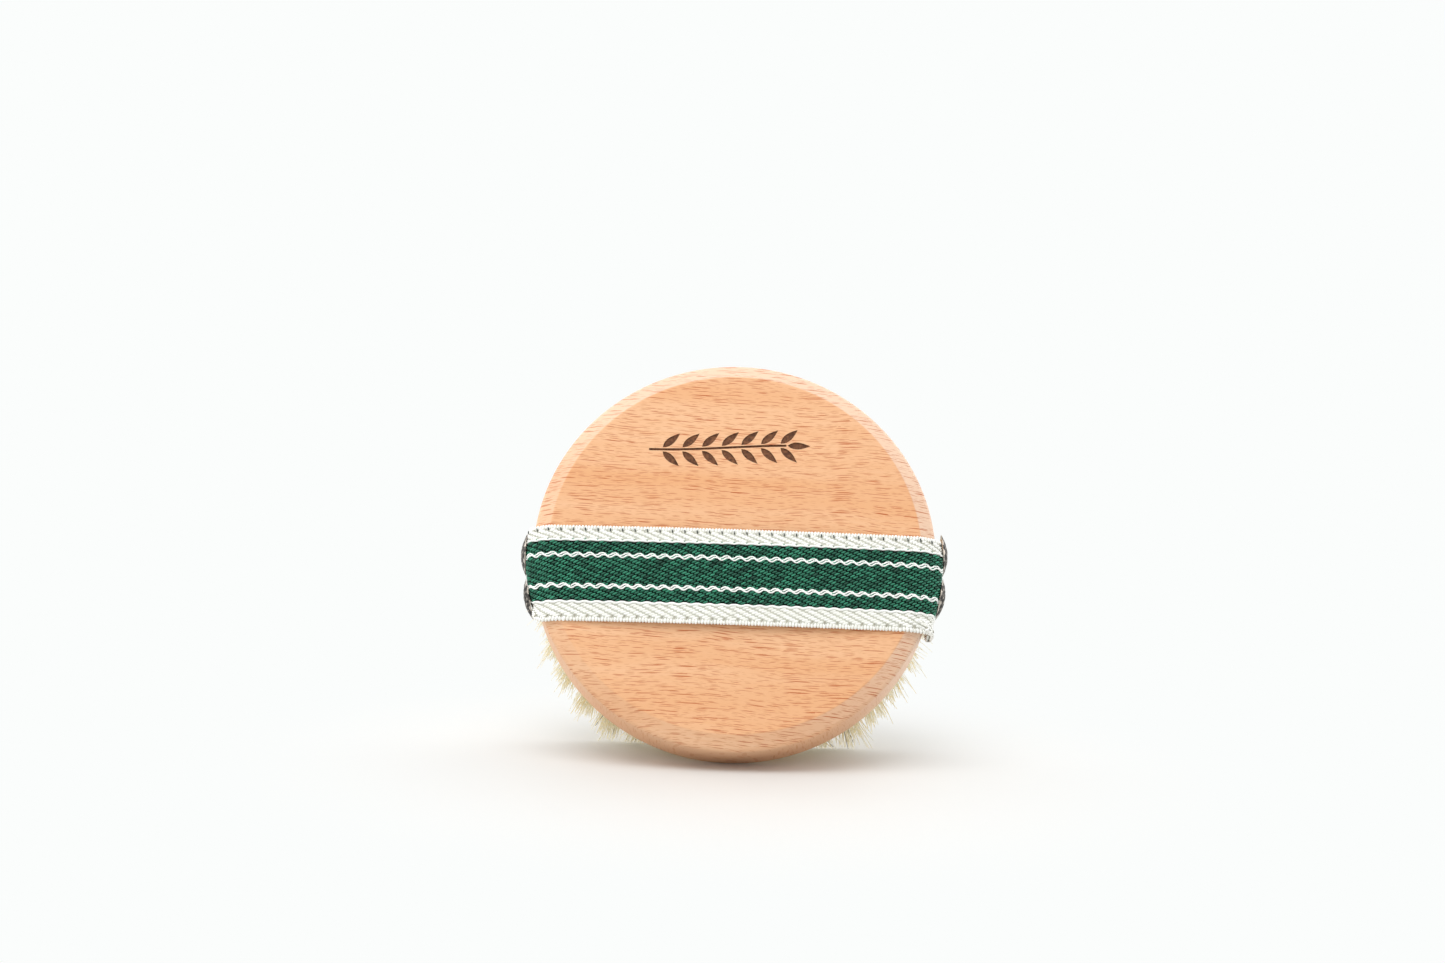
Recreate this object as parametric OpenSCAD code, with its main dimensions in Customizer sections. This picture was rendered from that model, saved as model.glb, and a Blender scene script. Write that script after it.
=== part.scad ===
// Round palm brush for dry body brushing.
// It stands on the back edge of its wooden disc and on its lower bristles, and
// leans back. The face with the hand strap looks along -Y, the bristles along +Y.

/* [Wooden body] */
// Diameter of the wooden disc
disc_d = 102.6; // [100:0.2:106]
// Thickness of the wooden disc
disc_t = 15.4; // [15:0.2:17]
// How far the chamfer comes in from the rim
chamfer_in = 3.9; // [3:0.1:5]
// How far the chamfer comes down the rim
chamfer_down = 2.1; // [1.8:0.1:2.6]
// Radius that softens both edges of the chamfer
arris_r = 1.5; // [1:0.1:1.8]
// Radius of the edge around the bristle side
back_edge_r = 1.1; // [0.6:0.1:1.6]

/* [Hand strap] */
// Width of the webbing
strap_w = 25.4; // [24:0.2:26]
// How far the strap lies below the middle of the disc
strap_drop = 6.8; // [0:0.2:8]
// Thickness of one layer of webbing
strap_t = 0.95; // [0.8:0.05:1.1]
// Slack of the strap over the middle of the face
strap_slack = 1.2; // [0.6:0.2:2]
// Height of the folded ends above the bristle side
strap_end = 1.6; // [1.4:0.2:2.4]
// Radius of the corners of the folded ends
strap_corner = 6; // [2:0.5:7]

/* [Tacks] */
// Diameter of a tack's domed cap
cap_d = 10.8; // [9.6:0.2:11]
// Height of the dome
cap_h = 1.5; // [1.4:0.1:2.4]
// Sheet thickness of the cap
cap_wall = 0.5; // [0.4:0.05:0.6]
// Distance between the two tacks of one side
tack_pitch = 11.8; // [11.6:0.1:12.2]
// How far the middle of the left pair of tacks is above the middle of the strap
left_tacks_up = 0.9; // [-1:0.1:2]
// The same for the right pair
right_tacks_up = 4.3; // [-1:0.1:4.5]
// Diameter of the nail under the cap
nail_d = 1.4; // [1.2:0.1:1.6]
// Depth that the nail reaches into the wood
nail_depth = 10; // [8:0.5:11]

/* [Bristles] */
// Rings of tufts around the middle tuft
rings = 6; // [6:1:6]
// Distance from one ring to the next
ring_pitch = 7.3; // [7:0.1:7.4]
// Free length of the tufts
tuft_len = 20.5; // [19:0.5:22]
// Diameter of a tuft at its root
root_d = 2.6; // [2.4:0.1:2.8]
// Diameter of a tuft at its tip
tip_d = 5.2; // [4.8:0.1:5.4]
// How far the tips of the outer ring flare out
flare = 6.9; // [5:0.1:7.4]
// Depth of the tuft holes
hole_depth = 7; // [6:0.5:7.5]

/* [Stance] */
// Angle by which the brush leans back from upright
lean = 25; // [24:0.5:26]

/* [Hidden] */
$fn = 48;
disc_r = disc_d / 2;
cap_r = cap_d / 2;
side_top = disc_t - chamfer_down;
outer_ring_r = rings * ring_pitch;

// Clearances: tuft in its hole, anchor in its hole, nail in its pilot hole
hole_gap = 0.08;
anchor_gap = 0.12;
nail_gap = 0.05;

// Wire anchor that pinches the folded tuft at the bottom of its hole
anchor_t = 0.45;
anchor_w = 1.6;
anchor_depth = 0.4;
anchor_slot_gap = 0.03;

// The cone of a tuft starts just clear of the hole's mouth, a little wider than the root
neck = 0.8;
collar = 0.25;
tuft_fn = 20;
// Height of the middle of a tip that lies squashed on the floor
tip_on_floor = 0.5;
// Power by which the flare falls off towards the middle rings
flare_power = 1.6;

// Points on an arc, and on the slack curve of the strap
arc_steps = 5;
slack_steps = 6;

// The strap is two layers thick down the rim, up to the lower edge of the chamfer
wrap_r = disc_r + 2 * strap_t;
double_top = side_top - arris_r - 0.4;
tack_z = (strap_end + disc_t - chamfer_down) / 2 + 0.2;
nail_head_r = 1.7;
nail_head_t = 0.5;
nail_point = 2.5;
nail_hole_r = nail_d / 2 + nail_gap;

// The disc's own frame has its bristle side at z = 0 and its strap face at +z.
// This height puts the lowest point of its rounded back edge on the floor.
disc_up = (disc_r - back_edge_r) * cos(lean) - back_edge_r * sin(lean) + back_edge_r;

// An outer tip's full radius, and the drop that the floor leaves it below the middle
full_tip_r = outer_ring_r + flare;
tip_room = disc_up - tuft_len * sin(lean) - tip_on_floor;

// Front and back ends of the whole brush along Y, before it is centred
front_end = -(disc_r - chamfer_in - arris_r * tan(chamfer_angle() / 2)) * sin(lean)
    - (disc_t - arris_r) * cos(lean) - arris_r;
back_end = let(a = top_tuft_axis(), d = [sin(lean), -cos(lean)])
    full_tip_r * sin(lean) + tuft_len * cos(lean)
    + tip_d / 2 * sqrt(1 - pow(a * d, 2));
centre_y = -(front_end + back_end) / 2;

sides = ["left", "right"];
levels = ["upper", "lower"];

// Height of a tack above the middle of the disc
function tack_y(side, level) =
    (side == "left" ? left_tacks_up : right_tacks_up) - strap_drop
    + (level == "upper" ? 0.5 : -0.5) * tack_pitch;

function tuft_node(k) = k == 0 ? "bristle_tuft_middle" : str("bristle_tufts_ring_", k);
function anchor_node(k) = k == 0 ? "wire_anchor_middle" : str("wire_anchors_ring_", k);

function unit(v) = v / norm(v);
function chamfer_angle() = atan2(chamfer_down, chamfer_in);

// Arc that rounds corner p of an outline, moved outwards by grow
function corner(a, p, b, r, grow = 0) =
    let(
        u = unit(a - p),
        v = unit(b - p),
        half = acos(u * v) / 2,
        middle = p + unit(u + v) * r / sin(half),
        from = p + u * r / tan(half) - middle,
        to = p + v * r / tan(half) - middle,
        start = atan2(from.y, from.x),
        turn = (atan2(to.y, to.x) - start + 540) % 360 - 180
    )
    [for (i = [0:arc_steps])
        let(angle = start + turn * i / arc_steps)
        middle + (r + grow) * [cos(angle), sin(angle)]];

// The chamfer's two rounded edges, from the face outwards
function face_arris(grow = 0) =
    corner([0, disc_t], [disc_r - chamfer_in, disc_t], [disc_r, side_top], arris_r, grow);
function rim_arris(grow = 0) =
    corner([disc_r - chamfer_in, disc_t], [disc_r, side_top], [disc_r, 0], arris_r, grow);

// Height of the slack strap's underside at radius r
function slack_at(r, edge) = disc_t + strap_slack * (1 - pow(r / edge, 2));

// Tufts of ring k, and the place of tuft i in its ring
function tuft_count(k) = k == 0 ? 1 : 6 * k;
function tuft_angle(k, i) = -90 + 360 * i / tuft_count(k);
function tuft_root(k, i) = k * ring_pitch * [cos(tuft_angle(k, i)), sin(tuft_angle(k, i))];

// Whether the floor stops an outer tuft before its full flare, and where its tip is
function meets_floor(angle) = -sin(angle) * cos(lean) * full_tip_r > tip_room;
function outer_tip_r(angle) =
    meets_floor(angle) ? tip_room / (-sin(angle) * cos(lean)) : full_tip_r;

function tuft_tip(k, i) =
    let(
        angle = tuft_angle(k, i),
        spread = (outer_tip_r(angle) - outer_ring_r) * pow(k / rings, flare_power),
        r = k * ring_pitch + spread
    )
    [r * cos(angle), r * sin(angle), -tuft_len];

// Direction of the topmost outer tuft, along the disc's up and out of its face
function top_tuft_axis() = unit([flare, -(tuft_len - neck)]);

// Moves a shape from the disc's own frame to where the brush stands
module stand() {
    translate([0, centre_y, disc_up])
        rotate([90 - lean, 0, 0])
            children();
}

// Moves a shape to one tack's seat on the strap, with +z pointing out of the rim
module at_tack(side, level) {
    rise = asin(tack_y(side, level) / wrap_r);
    rotate([0, 0, side == "left" ? 180 - rise : rise])
        translate([wrap_r, 0, tack_z])
            rotate([0, 90, 0])
                children();
}

module wooden_body() {
    outline = concat(
        [[0, 0]],
        corner([0, 0], [disc_r, 0], [disc_r, side_top], back_edge_r),
        [for (i = [arc_steps:-1:0]) rim_arris()[i]],
        [for (i = [arc_steps:-1:0]) face_arris()[i]],
        [[0, disc_t]]
    );
    color([0.89, 0.69, 0.51])
        stand()
            difference() {
                rotate_extrude($fn = 96) polygon(outline);
                for (k = [0:rings], i = [0:tuft_count(k) - 1])
                    translate([tuft_root(k, i).x, tuft_root(k, i).y, -1])
                        cylinder(h = hole_depth + 1, d = root_d + 2 * hole_gap);
                for (side = sides, level = levels)
                    at_tack(side, level)
                        translate([0, 0, -(wrap_r - disc_r) - nail_depth - 1])
                            cylinder(h = nail_depth + 2, r = nail_hole_r);
            }
}

// Outline of the strap as seen along its length, with rounded lower corners
module strap_outline() {
    reach = strap_w / 2 - strap_corner;
    for (y = [-reach, reach])
        translate([y, strap_end + strap_corner]) circle(r = strap_corner);
    translate([-reach, strap_end]) square([2 * reach, 2 * disc_t]);
    translate([-strap_w / 2, strap_end + strap_corner]) square([strap_w, 2 * disc_t]);
}

// One strip of webbing: slack over the face, down both rims, ends folded under
module hand_strap() {
    edge = face_arris()[0].x;
    under = concat(
        [for (i = [0:slack_steps - 1]) let(r = edge * i / slack_steps) [r, slack_at(r, edge)]],
        face_arris(),
        rim_arris(),
        [[disc_r, strap_end]]
    );
    over = concat(
        [[wrap_r, strap_end], [wrap_r, double_top]],
        [for (i = [arc_steps:-1:0]) rim_arris(strap_t)[i]],
        [for (i = [arc_steps:-1:0]) face_arris(strap_t)[i]],
        [for (i = [slack_steps - 1:-1:0])
            let(r = edge * i / slack_steps) [r, slack_at(r, edge) + strap_t]]
    );
    color([0.10, 0.42, 0.29])
        stand()
            difference() {
                intersection() {
                    rotate_extrude($fn = 96) polygon(concat(under, over));
                    translate([-disc_d, -strap_drop, 0])
                        rotate([90, 0, 90])
                            linear_extrude(2 * disc_d) strap_outline();
                }
                for (side = sides, level = levels)
                    at_tack(side, level)
                        translate([0, 0, -3 * strap_t])
                            cylinder(h = 4 * strap_t, r = nail_hole_r);
            }
}

// Height of a shallow dome of the given rim radius and rise, at distance r
function dome(r, rim, rise) =
    let(ball = (rim * rim + rise * rise) / (2 * rise))
    rise - ball + sqrt(ball * ball - r * r);

module tack_cap(side, level) {
    steps = 8;
    inner_r = cap_r - cap_wall;
    outer = [for (i = [0:steps]) let(r = cap_r * i / steps) [r, dome(r, cap_r, cap_h)]];
    inner = [for (i = [steps:-1:0])
        let(r = inner_r * i / steps) [r, dome(r, inner_r, cap_h - cap_wall)]];
    color([0.33, 0.29, 0.25])
        stand() at_tack(side, level)
            rotate_extrude() polygon(concat(outer, inner));
}

module tack_nail(side, level) {
    top = cap_h - cap_wall - 0.25;
    r = nail_d / 2;
    end = -(wrap_r - disc_r) - nail_depth + 0.3;
    color([0.62, 0.60, 0.56])
        stand() at_tack(side, level)
            rotate_extrude()
                polygon([
                    [0, top], [nail_head_r, top], [nail_head_r, top - nail_head_t],
                    [r, top - nail_head_t], [r, end + nail_point], [0, end]
                ]);
}

// Flat strip of wire across tuft i of ring k, or the slot that it leaves in the tuft
module anchor(k, i, length = root_d + 2 * (hole_gap - anchor_gap), grow = 0) {
    translate([tuft_root(k, i).x, tuft_root(k, i).y, hole_depth - anchor_w - anchor_depth])
        rotate([0, 0, tuft_angle(k, i) + 90])
            translate([-length / 2, -anchor_t / 2 - grow, -grow])
                cube([length, anchor_t + 2 * grow, anchor_w + 2 * grow]);
}

// A tuft is folded round its anchor in the hole, and widens towards its tip
module tuft(k, i) {
    root = tuft_root(k, i);
    tip = tuft_tip(k, i);
    start = [root.x, root.y, -neck];
    way = tip - start;
    difference() {
        union() {
            translate([root.x, root.y, -2 * neck])
                cylinder(h = hole_depth - anchor_depth / 2 + 2 * neck, d = root_d, $fn = tuft_fn);
            translate(start)
                rotate([0, acos(way.z / norm(way)), atan2(way.y, way.x)])
                    cylinder(h = norm(way), d1 = root_d + 2 * collar, d2 = tip_d, $fn = tuft_fn);
        }
        anchor(k, i, root_d + 1, anchor_slot_gap);
        if (k == rings && meets_floor(tuft_angle(k, i)))
            floor_block();
    }
}

// What lies below the floor, in the disc's own frame
module floor_block() {
    rotate([lean - 90, 0, 0])
        translate([-disc_d, -disc_d, -disc_up - disc_t])
            cube([2 * disc_d, 2 * disc_d, disc_t]);
}

module tufts(k) {
    color([0.93, 0.89, 0.76])
        stand()
            for (i = [0:tuft_count(k) - 1])
                tuft(k, i);
}

module anchors(k) {
    color([0.75, 0.75, 0.72])
        stand()
            for (i = [0:tuft_count(k) - 1])
                anchor(k, i);
}

wooden_body();
hand_strap();
for (side = sides, level = levels) {
    tack_cap(side, level);
    tack_nail(side, level);
}
for (k = [0:rings]) {
    tufts(k);
    anchors(k);
}
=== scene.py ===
"""Looks of a round palm brush: beech disc, woven hand strap, domed tacks and bristle tufts."""

import logging
import math
from dataclasses import dataclass, field
from enum import Enum

import bmesh
import bpy
import numpy as np
from mathutils import Matrix, Vector


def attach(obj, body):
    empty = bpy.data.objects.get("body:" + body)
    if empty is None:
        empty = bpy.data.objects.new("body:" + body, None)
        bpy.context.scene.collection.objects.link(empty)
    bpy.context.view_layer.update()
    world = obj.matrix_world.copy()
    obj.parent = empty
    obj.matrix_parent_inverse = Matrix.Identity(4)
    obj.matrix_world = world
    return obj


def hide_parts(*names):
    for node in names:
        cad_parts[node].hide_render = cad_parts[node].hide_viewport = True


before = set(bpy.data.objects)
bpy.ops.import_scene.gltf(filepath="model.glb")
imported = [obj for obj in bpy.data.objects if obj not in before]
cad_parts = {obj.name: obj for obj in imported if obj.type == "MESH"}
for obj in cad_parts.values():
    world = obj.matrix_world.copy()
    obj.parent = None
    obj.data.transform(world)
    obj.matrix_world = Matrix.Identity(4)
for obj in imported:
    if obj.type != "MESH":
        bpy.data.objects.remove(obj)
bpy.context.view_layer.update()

MM = 0.001
BODY = "root"
LOG = logging.getLogger("palm_brush")
Colour = tuple[float, float, float]
Triple = tuple[float, float, float]


# ---------------------------------------------------------------- node trees and meshes


class Graph:
    """A shader or geometry node tree that is built one node at a time."""

    def __init__(self, tree: bpy.types.NodeTree) -> None:
        """Starts on a tree.

        Args:
            tree: the node tree to build in.
        """
        self.tree = tree

    def feed(self, socket: bpy.types.NodeSocket, value: object) -> None:
        """Links a socket to a value's socket, or sets it to a plain value.

        Args:
            socket: the input to fill.
            value: another node's output, or a number, vector, colour or name.
        """
        if isinstance(value, bpy.types.NodeSocket):
            self.tree.links.new(value, socket)
        else:
            socket.default_value = value

    def add(self, kind: str, inputs: dict | None = None, **settings: object) -> bpy.types.Node:
        """Adds a node.

        Args:
            kind: the node's Blender type.
            inputs: values for its inputs, by name or by place.
            settings: values for its own properties.

        Returns:
            The new node.
        """
        node = self.tree.nodes.new(kind)
        for name, value in settings.items():
            setattr(node, name, value)
        self.fill(node, inputs or {})
        return node

    def fill(self, node: bpy.types.Node, inputs: dict) -> None:
        """Feeds several inputs of a node, by name or by place."""
        for key, value in inputs.items():
            self.feed(node.inputs[key], value)

    def math(self, operation: str, *values: object) -> bpy.types.NodeSocket:
        """Returns the result of a math node on these values."""
        node = self.add("ShaderNodeMath", dict(enumerate(values)), operation=operation)
        return node.outputs[0]

    def vector(self, operation: str, *values: object) -> bpy.types.NodeSocket:
        """Returns the vector result of a vector math node on these values."""
        node = self.add("ShaderNodeVectorMath", dict(enumerate(values)), operation=operation)
        return node.outputs[0]

    def measure(self, operation: str, *values: object) -> bpy.types.NodeSocket:
        """Returns the number that a vector math node gives for these values."""
        node = self.add("ShaderNodeVectorMath", dict(enumerate(values)), operation=operation)
        return node.outputs["Value"]

    def bump(self, height: object, strength: float, distance: float) -> bpy.types.NodeSocket:
        """Returns the normal of a surface roughened by a height. The distance is in metres."""
        inputs = {"Height": height, "Strength": strength, "Distance": distance}
        return self.add("ShaderNodeBump", inputs).outputs[0]

    def scaled(self, vector: object, factor: object) -> bpy.types.NodeSocket:
        """Returns a vector times a number."""
        inputs = {"Vector": vector, "Scale": factor}
        return self.add("ShaderNodeVectorMath", inputs, operation="SCALE").outputs[0]

    def total(self, *vectors: object) -> bpy.types.NodeSocket:
        """Returns the sum of several vectors."""
        result = vectors[0]
        for vector in vectors[1:]:
            result = self.vector("ADD", result, vector)
        return result

    def parts(self, vector: object) -> bpy.types.bpy_prop_collection:
        """Returns the X, Y and Z sockets of a vector."""
        return self.add("ShaderNodeSeparateXYZ", {0: vector}).outputs

    def joined(self, x: object, y: object, z: object) -> bpy.types.NodeSocket:
        """Returns a vector made of three numbers."""
        return self.add("ShaderNodeCombineXYZ", {0: x, 1: y, 2: z}).outputs[0]

    def span(self, value: object, low: float, high: float, to_low: float = 0.0,
             to_high: float = 1.0, smooth: bool = False) -> bpy.types.NodeSocket:
        """Returns a value mapped from one range to another, and clamped.

        Args:
            value: the number to map.
            low: start of the range that it comes from.
            high: end of that range.
            to_low: start of the range that it goes to.
            to_high: end of that range.
            smooth: whether the change eases in and out.
        """
        kind = "SMOOTHSTEP" if smooth else "LINEAR"
        inputs = {0: value, 1: low, 2: high, 3: to_low, 4: to_high}
        return self.add("ShaderNodeMapRange", inputs, interpolation_type=kind).outputs[0]

    def random(self, low: float, high: float, seed: int) -> bpy.types.NodeSocket:
        """Returns a random number for each element of a geometry tree."""
        node = self.add("FunctionNodeRandomValue", {2: low, 3: high, 8: seed})
        node.data_type = "FLOAT"
        return node.outputs[1]

    def store(self, geometry: object, name: str, value: object,
              kind: str = "FLOAT") -> bpy.types.NodeSocket:
        """Keeps a value as a named point attribute and returns the geometry."""
        node = self.add("GeometryNodeStoreNamedAttribute", data_type=kind, domain="POINT")
        self.fill(node, {"Geometry": geometry, "Name": name, "Value": value})
        return node.outputs[0]

    def named(self, name: str, kind: str = "FLOAT") -> bpy.types.NodeSocket:
        """Returns a named attribute of the geometry."""
        node = self.add("GeometryNodeInputNamedAttribute", data_type=kind)
        self.feed(node.inputs["Name"], name)
        return node.outputs[0]


class Pattern(Graph):
    """A geometry node tree with named inputs, which makes one kind of repeated shape."""

    def __init__(self, name: str, inputs: dict[str, str]) -> None:
        """Starts the tree.

        Args:
            name: the tree's name.
            inputs: the type of each named input.
        """
        super().__init__(bpy.data.node_groups.new(name, "GeometryNodeTree"))
        face = self.tree.interface
        face.new_socket("Geometry", in_out="INPUT", socket_type="NodeSocketGeometry")
        for title, kind in inputs.items():
            face.new_socket(title, in_out="INPUT", socket_type="NodeSocket" + kind)
        face.new_socket("Geometry", in_out="OUTPUT", socket_type="NodeSocketGeometry")
        self.given = self.add("NodeGroupInput").outputs

    def end(self, geometry: bpy.types.NodeSocket) -> "Pattern":
        """Realizes the instances, sets the material and closes the tree.

        Args:
            geometry: the geometry so far.

        Returns:
            This pattern.
        """
        real = self.add("GeometryNodeRealizeInstances", {0: geometry}).outputs[0]
        finished = self.add("GeometryNodeSetMaterial", {"Geometry": real,
                                                        "Material": self.given["Material"]})
        self.add("NodeGroupOutput", {0: finished.outputs[0]})
        return self

    def make(self, name: str, base: bpy.types.Mesh, values: dict[str, object]) -> bpy.types.Object:
        """Runs the tree on a mesh and returns its result as a plain object.

        Args:
            name: the new object's name.
            base: the mesh that the tree starts from.
            values: a value for each named input.

        Returns:
            A linked object whose mesh holds the result.
        """
        holder = link(bpy.data.objects.new(name + "_pattern", base))
        modifier = holder.modifiers.new(name, "NODES")
        modifier.node_group = self.tree
        sockets = [s for s in self.tree.interface.items_tree if s.item_type == "SOCKET"]
        for socket in sockets:
            if socket.in_out == "INPUT" and socket.name in values:
                modifier[socket.identifier] = values[socket.name]
        return baked(holder, name)


def link(thing: bpy.types.Object) -> bpy.types.Object:
    """Puts an object into the scene and returns it."""
    bpy.context.scene.collection.objects.link(thing)
    return thing


def baked(holder: bpy.types.Object, name: str) -> bpy.types.Object:
    """Turns an object with modifiers into a plain one, and removes the first.

    Args:
        holder: the object with live modifiers.
        name: the plain object's name.

    Returns:
        The plain object, linked to the scene.
    """
    bpy.context.view_layer.update()
    shown = holder.evaluated_get(bpy.context.evaluated_depsgraph_get())
    mesh = bpy.data.meshes.new_from_object(shown)
    bpy.data.objects.remove(holder)
    mesh.name = name
    return link(bpy.data.objects.new(name, mesh))


def mesh_of(name: str, points: np.ndarray, faces: list, uvs: np.ndarray | None = None) -> bpy.types.Mesh:
    """Builds a smooth-shaded mesh.

    Args:
        name: the mesh's name.
        points: vertex places, one row each.
        faces: each face's vertex numbers.
        uvs: a texture place for each vertex, if the mesh has them.

    Returns:
        The mesh.
    """
    mesh = bpy.data.meshes.new(name)
    mesh.from_pydata([tuple(map(float, p)) for p in points], [], faces)
    mesh.polygons.foreach_set("use_smooth", [True] * len(mesh.polygons))
    if uvs is not None:
        corners = np.zeros(len(mesh.loops), np.int32)
        mesh.loops.foreach_get("vertex_index", corners)
        layer = mesh.uv_layers.new(name="UVMap")
        layer.data.foreach_set("uv", uvs[corners].astype(np.float32).ravel())
    mesh.update()
    return mesh


def places(mesh: bpy.types.Mesh) -> np.ndarray:
    """Returns a mesh's vertex places, one row each."""
    flat = np.zeros(len(mesh.vertices) * 3, np.float32)
    mesh.vertices.foreach_get("co", flat)
    return flat.reshape(-1, 3).astype(float)


def move_points(mesh: bpy.types.Mesh, points: np.ndarray) -> None:
    """Gives a mesh new vertex places."""
    mesh.vertices.foreach_set("co", points.astype(np.float32).ravel())
    mesh.update()


def ring_faces(rings: int, sides: int, closed: bool = False) -> list[tuple[int, ...]]:
    """Faces that join rings of vertices into a tube.

    Args:
        rings: how many rings there are.
        sides: vertices in each ring.
        closed: whether the last ring joins the first, or the ends get caps.

    Returns:
        The faces' vertex numbers, which face outwards when each ring turns
        anticlockwise as seen from the end of the tube.
    """
    faces = []
    for i in range(rings if closed else rings - 1):
        a, b = i * sides, (i + 1) % rings * sides
        for j in range(sides):
            k = (j + 1) % sides
            faces.append((a + j, a + k, b + k, b + j))
    if not closed:
        faces.append(tuple(range(sides - 1, -1, -1)))
        faces.append(tuple(range((rings - 1) * sides, rings * sides)))
    return faces


def show(piece: bpy.types.Object, slot: str, *nodes: str) -> bpy.types.Object:
    """Rides a finished piece on the brush and hides the CAD nodes that it replaces.

    Args:
        piece: the finished object.
        slot: the record's material slot; not used.
        nodes: the CAD nodes that it stands for.

    Returns:
        The piece.
    """
    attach(piece, BODY)
    if nodes:
        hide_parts(*nodes)
    LOG.info("%s: %d faces", piece.name, len(piece.data.polygons))
    return piece


# ---------------------------------------------------------------- the disc's own frame


@dataclass(frozen=True)
class DiscFrame:
    """The wooden disc's axes and main sizes, read from its CAD node. Sizes are in mm."""

    middle: Vector
    along: Vector
    up: Vector
    out: Vector
    radius: float
    thickness: float

    @classmethod
    def read(cls, body: bpy.types.Object) -> "DiscFrame":
        """Finds the disc's frame from its flat strap face and its extent.

        Args:
            body: the wooden body's CAD node.

        Returns:
            The frame, whose middle is the centre of the bristle side.
        """
        faces = [f for f in body.data.polygons if f.normal.y < 0]
        out = max(faces, key=lambda f: f.area).normal.copy()
        out.x = 0.0
        out.normalize()
        along = Vector((1.0, 0.0, 0.0))
        up = out.cross(along)
        points = places(body.data)
        heights, depths = points @ np.array(up), points @ np.array(out)
        middle = up * float(heights.min() + heights.max()) / 2 + out * float(depths.min())
        width = float(np.ptp(points[:, 0]))
        return cls(middle, along, up, out, width / 2 / MM, float(np.ptp(depths)) / MM)

    @property
    def lean(self) -> float:
        """Turn about X from flat on its bristles to the way the brush stands, in radians."""
        return math.atan2(self.up.z, self.up.y)

    def matrix(self) -> Matrix:
        """Returns the matrix from the disc's frame in mm to the brush's in metres."""
        turn = Matrix((self.along, self.up, self.out)).transposed().to_4x4()
        return Matrix.Translation(self.middle) @ turn @ Matrix.Scale(MM, 4)

    def local(self, points: np.ndarray) -> np.ndarray:
        """Returns places in the brush's frame, in metres, as places in the disc's, in mm."""
        axes = np.array((self.along, self.up, self.out))
        return (points - np.array(self.middle)) @ axes.T / MM

    def node(self, name: str) -> np.ndarray:
        """Returns a CAD node's vertices in the disc's frame, in mm."""
        return self.local(places(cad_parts[name].data))

    def settle(self, piece: bpy.types.Object) -> bpy.types.Object:
        """Moves a piece's mesh from the disc's frame in mm to where the brush stands."""
        piece.data.transform(self.matrix())
        piece.data.update()
        return piece


# ---------------------------------------------------------------- finishes


def new_material(name: str) -> tuple[bpy.types.Material, Graph, bpy.types.Node]:
    """Starts a material.

    Args:
        name: the material's name.

    Returns:
        The material, its graph and its Principled shader.
    """
    material = bpy.data.materials.new(name)
    material.use_nodes = True
    graph = Graph(material.node_tree)
    shader = material.node_tree.nodes["Principled BSDF"]
    return material, graph, shader


def blend_colours(graph: Graph, factor: object, first: object, second: object,
                  kind: str = "MIX") -> bpy.types.NodeSocket:
    """Returns the mix of two colours.

    Args:
        graph: the material's graph.
        factor: how much of the second colour shows.
        first: a colour or socket.
        second: a colour or socket.
        kind: the way that the second is laid over the first.
    """
    node = graph.add("ShaderNodeMix", data_type="RGBA", blend_type=kind)
    graph.feed(node.inputs[0], factor)
    for place, colour in ((6, first), (7, second)):
        plain = not isinstance(colour, bpy.types.NodeSocket)
        graph.feed(node.inputs[place], (*colour, 1.0) if plain else colour)
    return node.outputs[2]


def noise(graph: Graph, where: object, scale: float, detail: float = 2.0,
          roughness: float = 0.5) -> bpy.types.NodeSocket:
    """Returns a noise value from 0 to 1 at a place."""
    inputs = {"Vector": where, "Scale": scale, "Detail": detail, "Roughness": roughness}
    return graph.add("ShaderNodeTexNoise", inputs).outputs[0]


@dataclass(frozen=True)
class PoreLayer:
    """Dashes along the grain, one in each cell at most. Sizes are in mm.

    The cell is the room for one dash along, across and into the wood, and the dash is its
    greatest half size along those.
    """

    cell: Triple
    dash: Triple
    strength: float


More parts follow.
